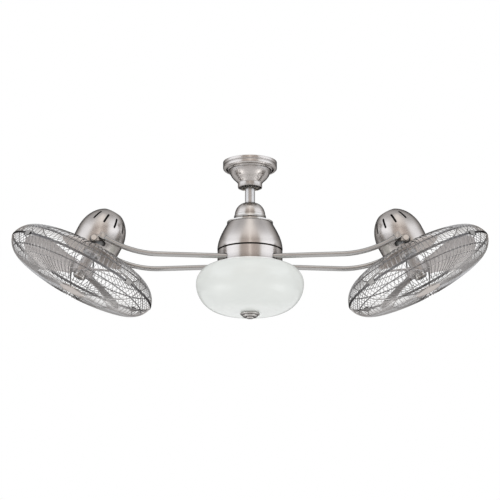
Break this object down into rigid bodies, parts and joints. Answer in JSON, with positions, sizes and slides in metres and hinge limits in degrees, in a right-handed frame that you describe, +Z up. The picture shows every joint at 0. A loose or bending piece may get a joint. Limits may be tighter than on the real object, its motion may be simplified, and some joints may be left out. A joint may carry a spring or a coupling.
{
  "type": "twin head ceiling fan",
  "caption": "Ceiling fan with caged, tiltable fan heads on paired bent arms that turn round a hanging motor bell, and a glass bowl light below.",
  "frame": {"origin": "on the ceiling plane, at the middle of the hanger bracket's screw slots, on the fan's vertical axis", "axes": "+Z up out of the ceiling plane, +X toward the right fan head, +Y to the back as seen in the picture"},
  "size_m": [1.2116, 0.398, 0.4123],
  "materials": {
    "brushed_nickel": "brushed nickel plate",
    "bright_nickel": "bright nickel plate",
    "blade_metal": "brushed",
    "zinc_steel": "zinc plated",
    "cast_aluminium": "as cast",
    "ball_nylon": "moulded",
    "motor_can": "black lacquer",
    "bearing_steel": "ground",
    "gear_brass": "machined",
    "brush_plastic": "moulded",
    "pan_enamel": "white enamel",
    "holder_porcelain": "glazed",
    "lamp_glass": "frosted",
    "opal_glass": "opal, satin",
    "washer_rubber": "moulded",
    "winding_copper": "enamelled copper and steel sheet"
  },
  "bodies": {
    "ceiling_mount": {"hanger_bracket": "zinc_steel", "canopy": "brushed_nickel", "canopy_ring": "brushed_nickel", "canopy_screws": "bright_nickel"},
    "hanging_frame": {"hanger_ball": "ball_nylon", "rod_pins": "zinc_steel", "downrod": "brushed_nickel", "yoke_cover": "brushed_nickel", "collar_ring": "bright_nickel", "motor_coupler": "zinc_steel", "frame_bolts": "zinc_steel", "bell_housing": "brushed_nickel", "core_plate": "zinc_steel", "hollow_shaft": "zinc_steel", "gearmotor": "motor_can", "bearing_inner_rings": "bearing_steel", "slip_rings": "gear_brass", "light_pan": "pan_enamel", "lamp_holders": "holder_porcelain", "lamps": "lamp_glass", "bowl_rod": "zinc_steel", "glass_bowl": "opal_glass", "bowl_washers": "washer_rubber", "finial": "bright_nickel"},
    "drive_pinion": {"drive_pinion": "gear_brass"},
    "turning_hub": {"hub_core": "cast_aluminium", "hub_band": "brushed_nickel", "ring_gear": "gear_brass", "bearing_outer_rings": "bearing_steel", "bearing_balls": "bearing_steel", "brush_block": "brush_plastic", "arm_screws": "zinc_steel", "front_left_arm": "brushed_nickel", "rear_left_arm": "brushed_nickel", "front_right_arm": "brushed_nickel", "rear_right_arm": "brushed_nickel"},
    "left_head": {"left_motor_frame": "cast_aluminium", "left_motor_shell": "brushed_nickel", "left_pivot_bolts": "bright_nickel", "left_stator": "winding_copper", "left_rear_guard": "brushed_nickel", "left_rear_wires": "bright_nickel", "left_front_guard": "brushed_nickel", "left_front_wires": "bright_nickel", "left_guard_clips": "bright_nickel"},
    "left_rotor": {"left_rotor_shaft": "zinc_steel", "left_blades": "blade_metal", "left_blade_nut": "bright_nickel"},
    "right_head": {"right_motor_frame": "cast_aluminium", "right_motor_shell": "brushed_nickel", "right_pivot_bolts": "bright_nickel", "right_stator": "winding_copper", "right_rear_guard": "brushed_nickel", "right_rear_wires": "bright_nickel", "right_front_guard": "brushed_nickel", "right_front_wires": "bright_nickel", "right_guard_clips": "bright_nickel"},
    "right_rotor": {"right_rotor_shaft": "zinc_steel", "right_blades": "blade_metal", "right_blade_nut": "bright_nickel"}
  },
  "joints": [
    {"name": "hang_swing", "type": "hinge", "parent": "ceiling_mount", "child": "hanging_frame", "pos_m": [0, 0, -0.04], "axis": [0, 1, 0], "range_deg": [-12, 12]},
    {"name": "hub_turn", "type": "hinge", "parent": "hanging_frame", "child": "turning_hub", "pos_m": [0, 0, -0.263], "axis": [0, 0, 1], "continuous": true},
    {"name": "pinion_turn", "type": "hinge", "parent": "hanging_frame", "child": "drive_pinion", "pos_m": [0, 0.06, -0.218], "axis": [0, 0, 1], "continuous": true},
    {"name": "left_head_tilt", "type": "hinge", "parent": "turning_hub", "child": "left_head", "pos_m": [-0.392, 0, -0.221], "axis": [0, 1, 0], "range_deg": [-15, 60]},
    {"name": "left_rotor_spin", "type": "hinge", "parent": "left_head", "child": "left_rotor", "pos_m": [-0.42696, 0, -0.28961], "axis": [0.454, 0, 0.891], "continuous": true},
    {"name": "right_head_tilt", "type": "hinge", "parent": "turning_hub", "child": "right_head", "pos_m": [0.392, 0, -0.221], "axis": [0, -1, 0], "range_deg": [-15, 60]},
    {"name": "right_rotor_spin", "type": "hinge", "parent": "right_head", "child": "right_rotor", "pos_m": [0.42696, 0, -0.28961], "axis": [-0.454, 0, 0.891], "continuous": true}
  ],
  "couplings": [
    {"joint": "pinion_turn", "follows": "hub_turn", "ratio": -4}
  ]
}
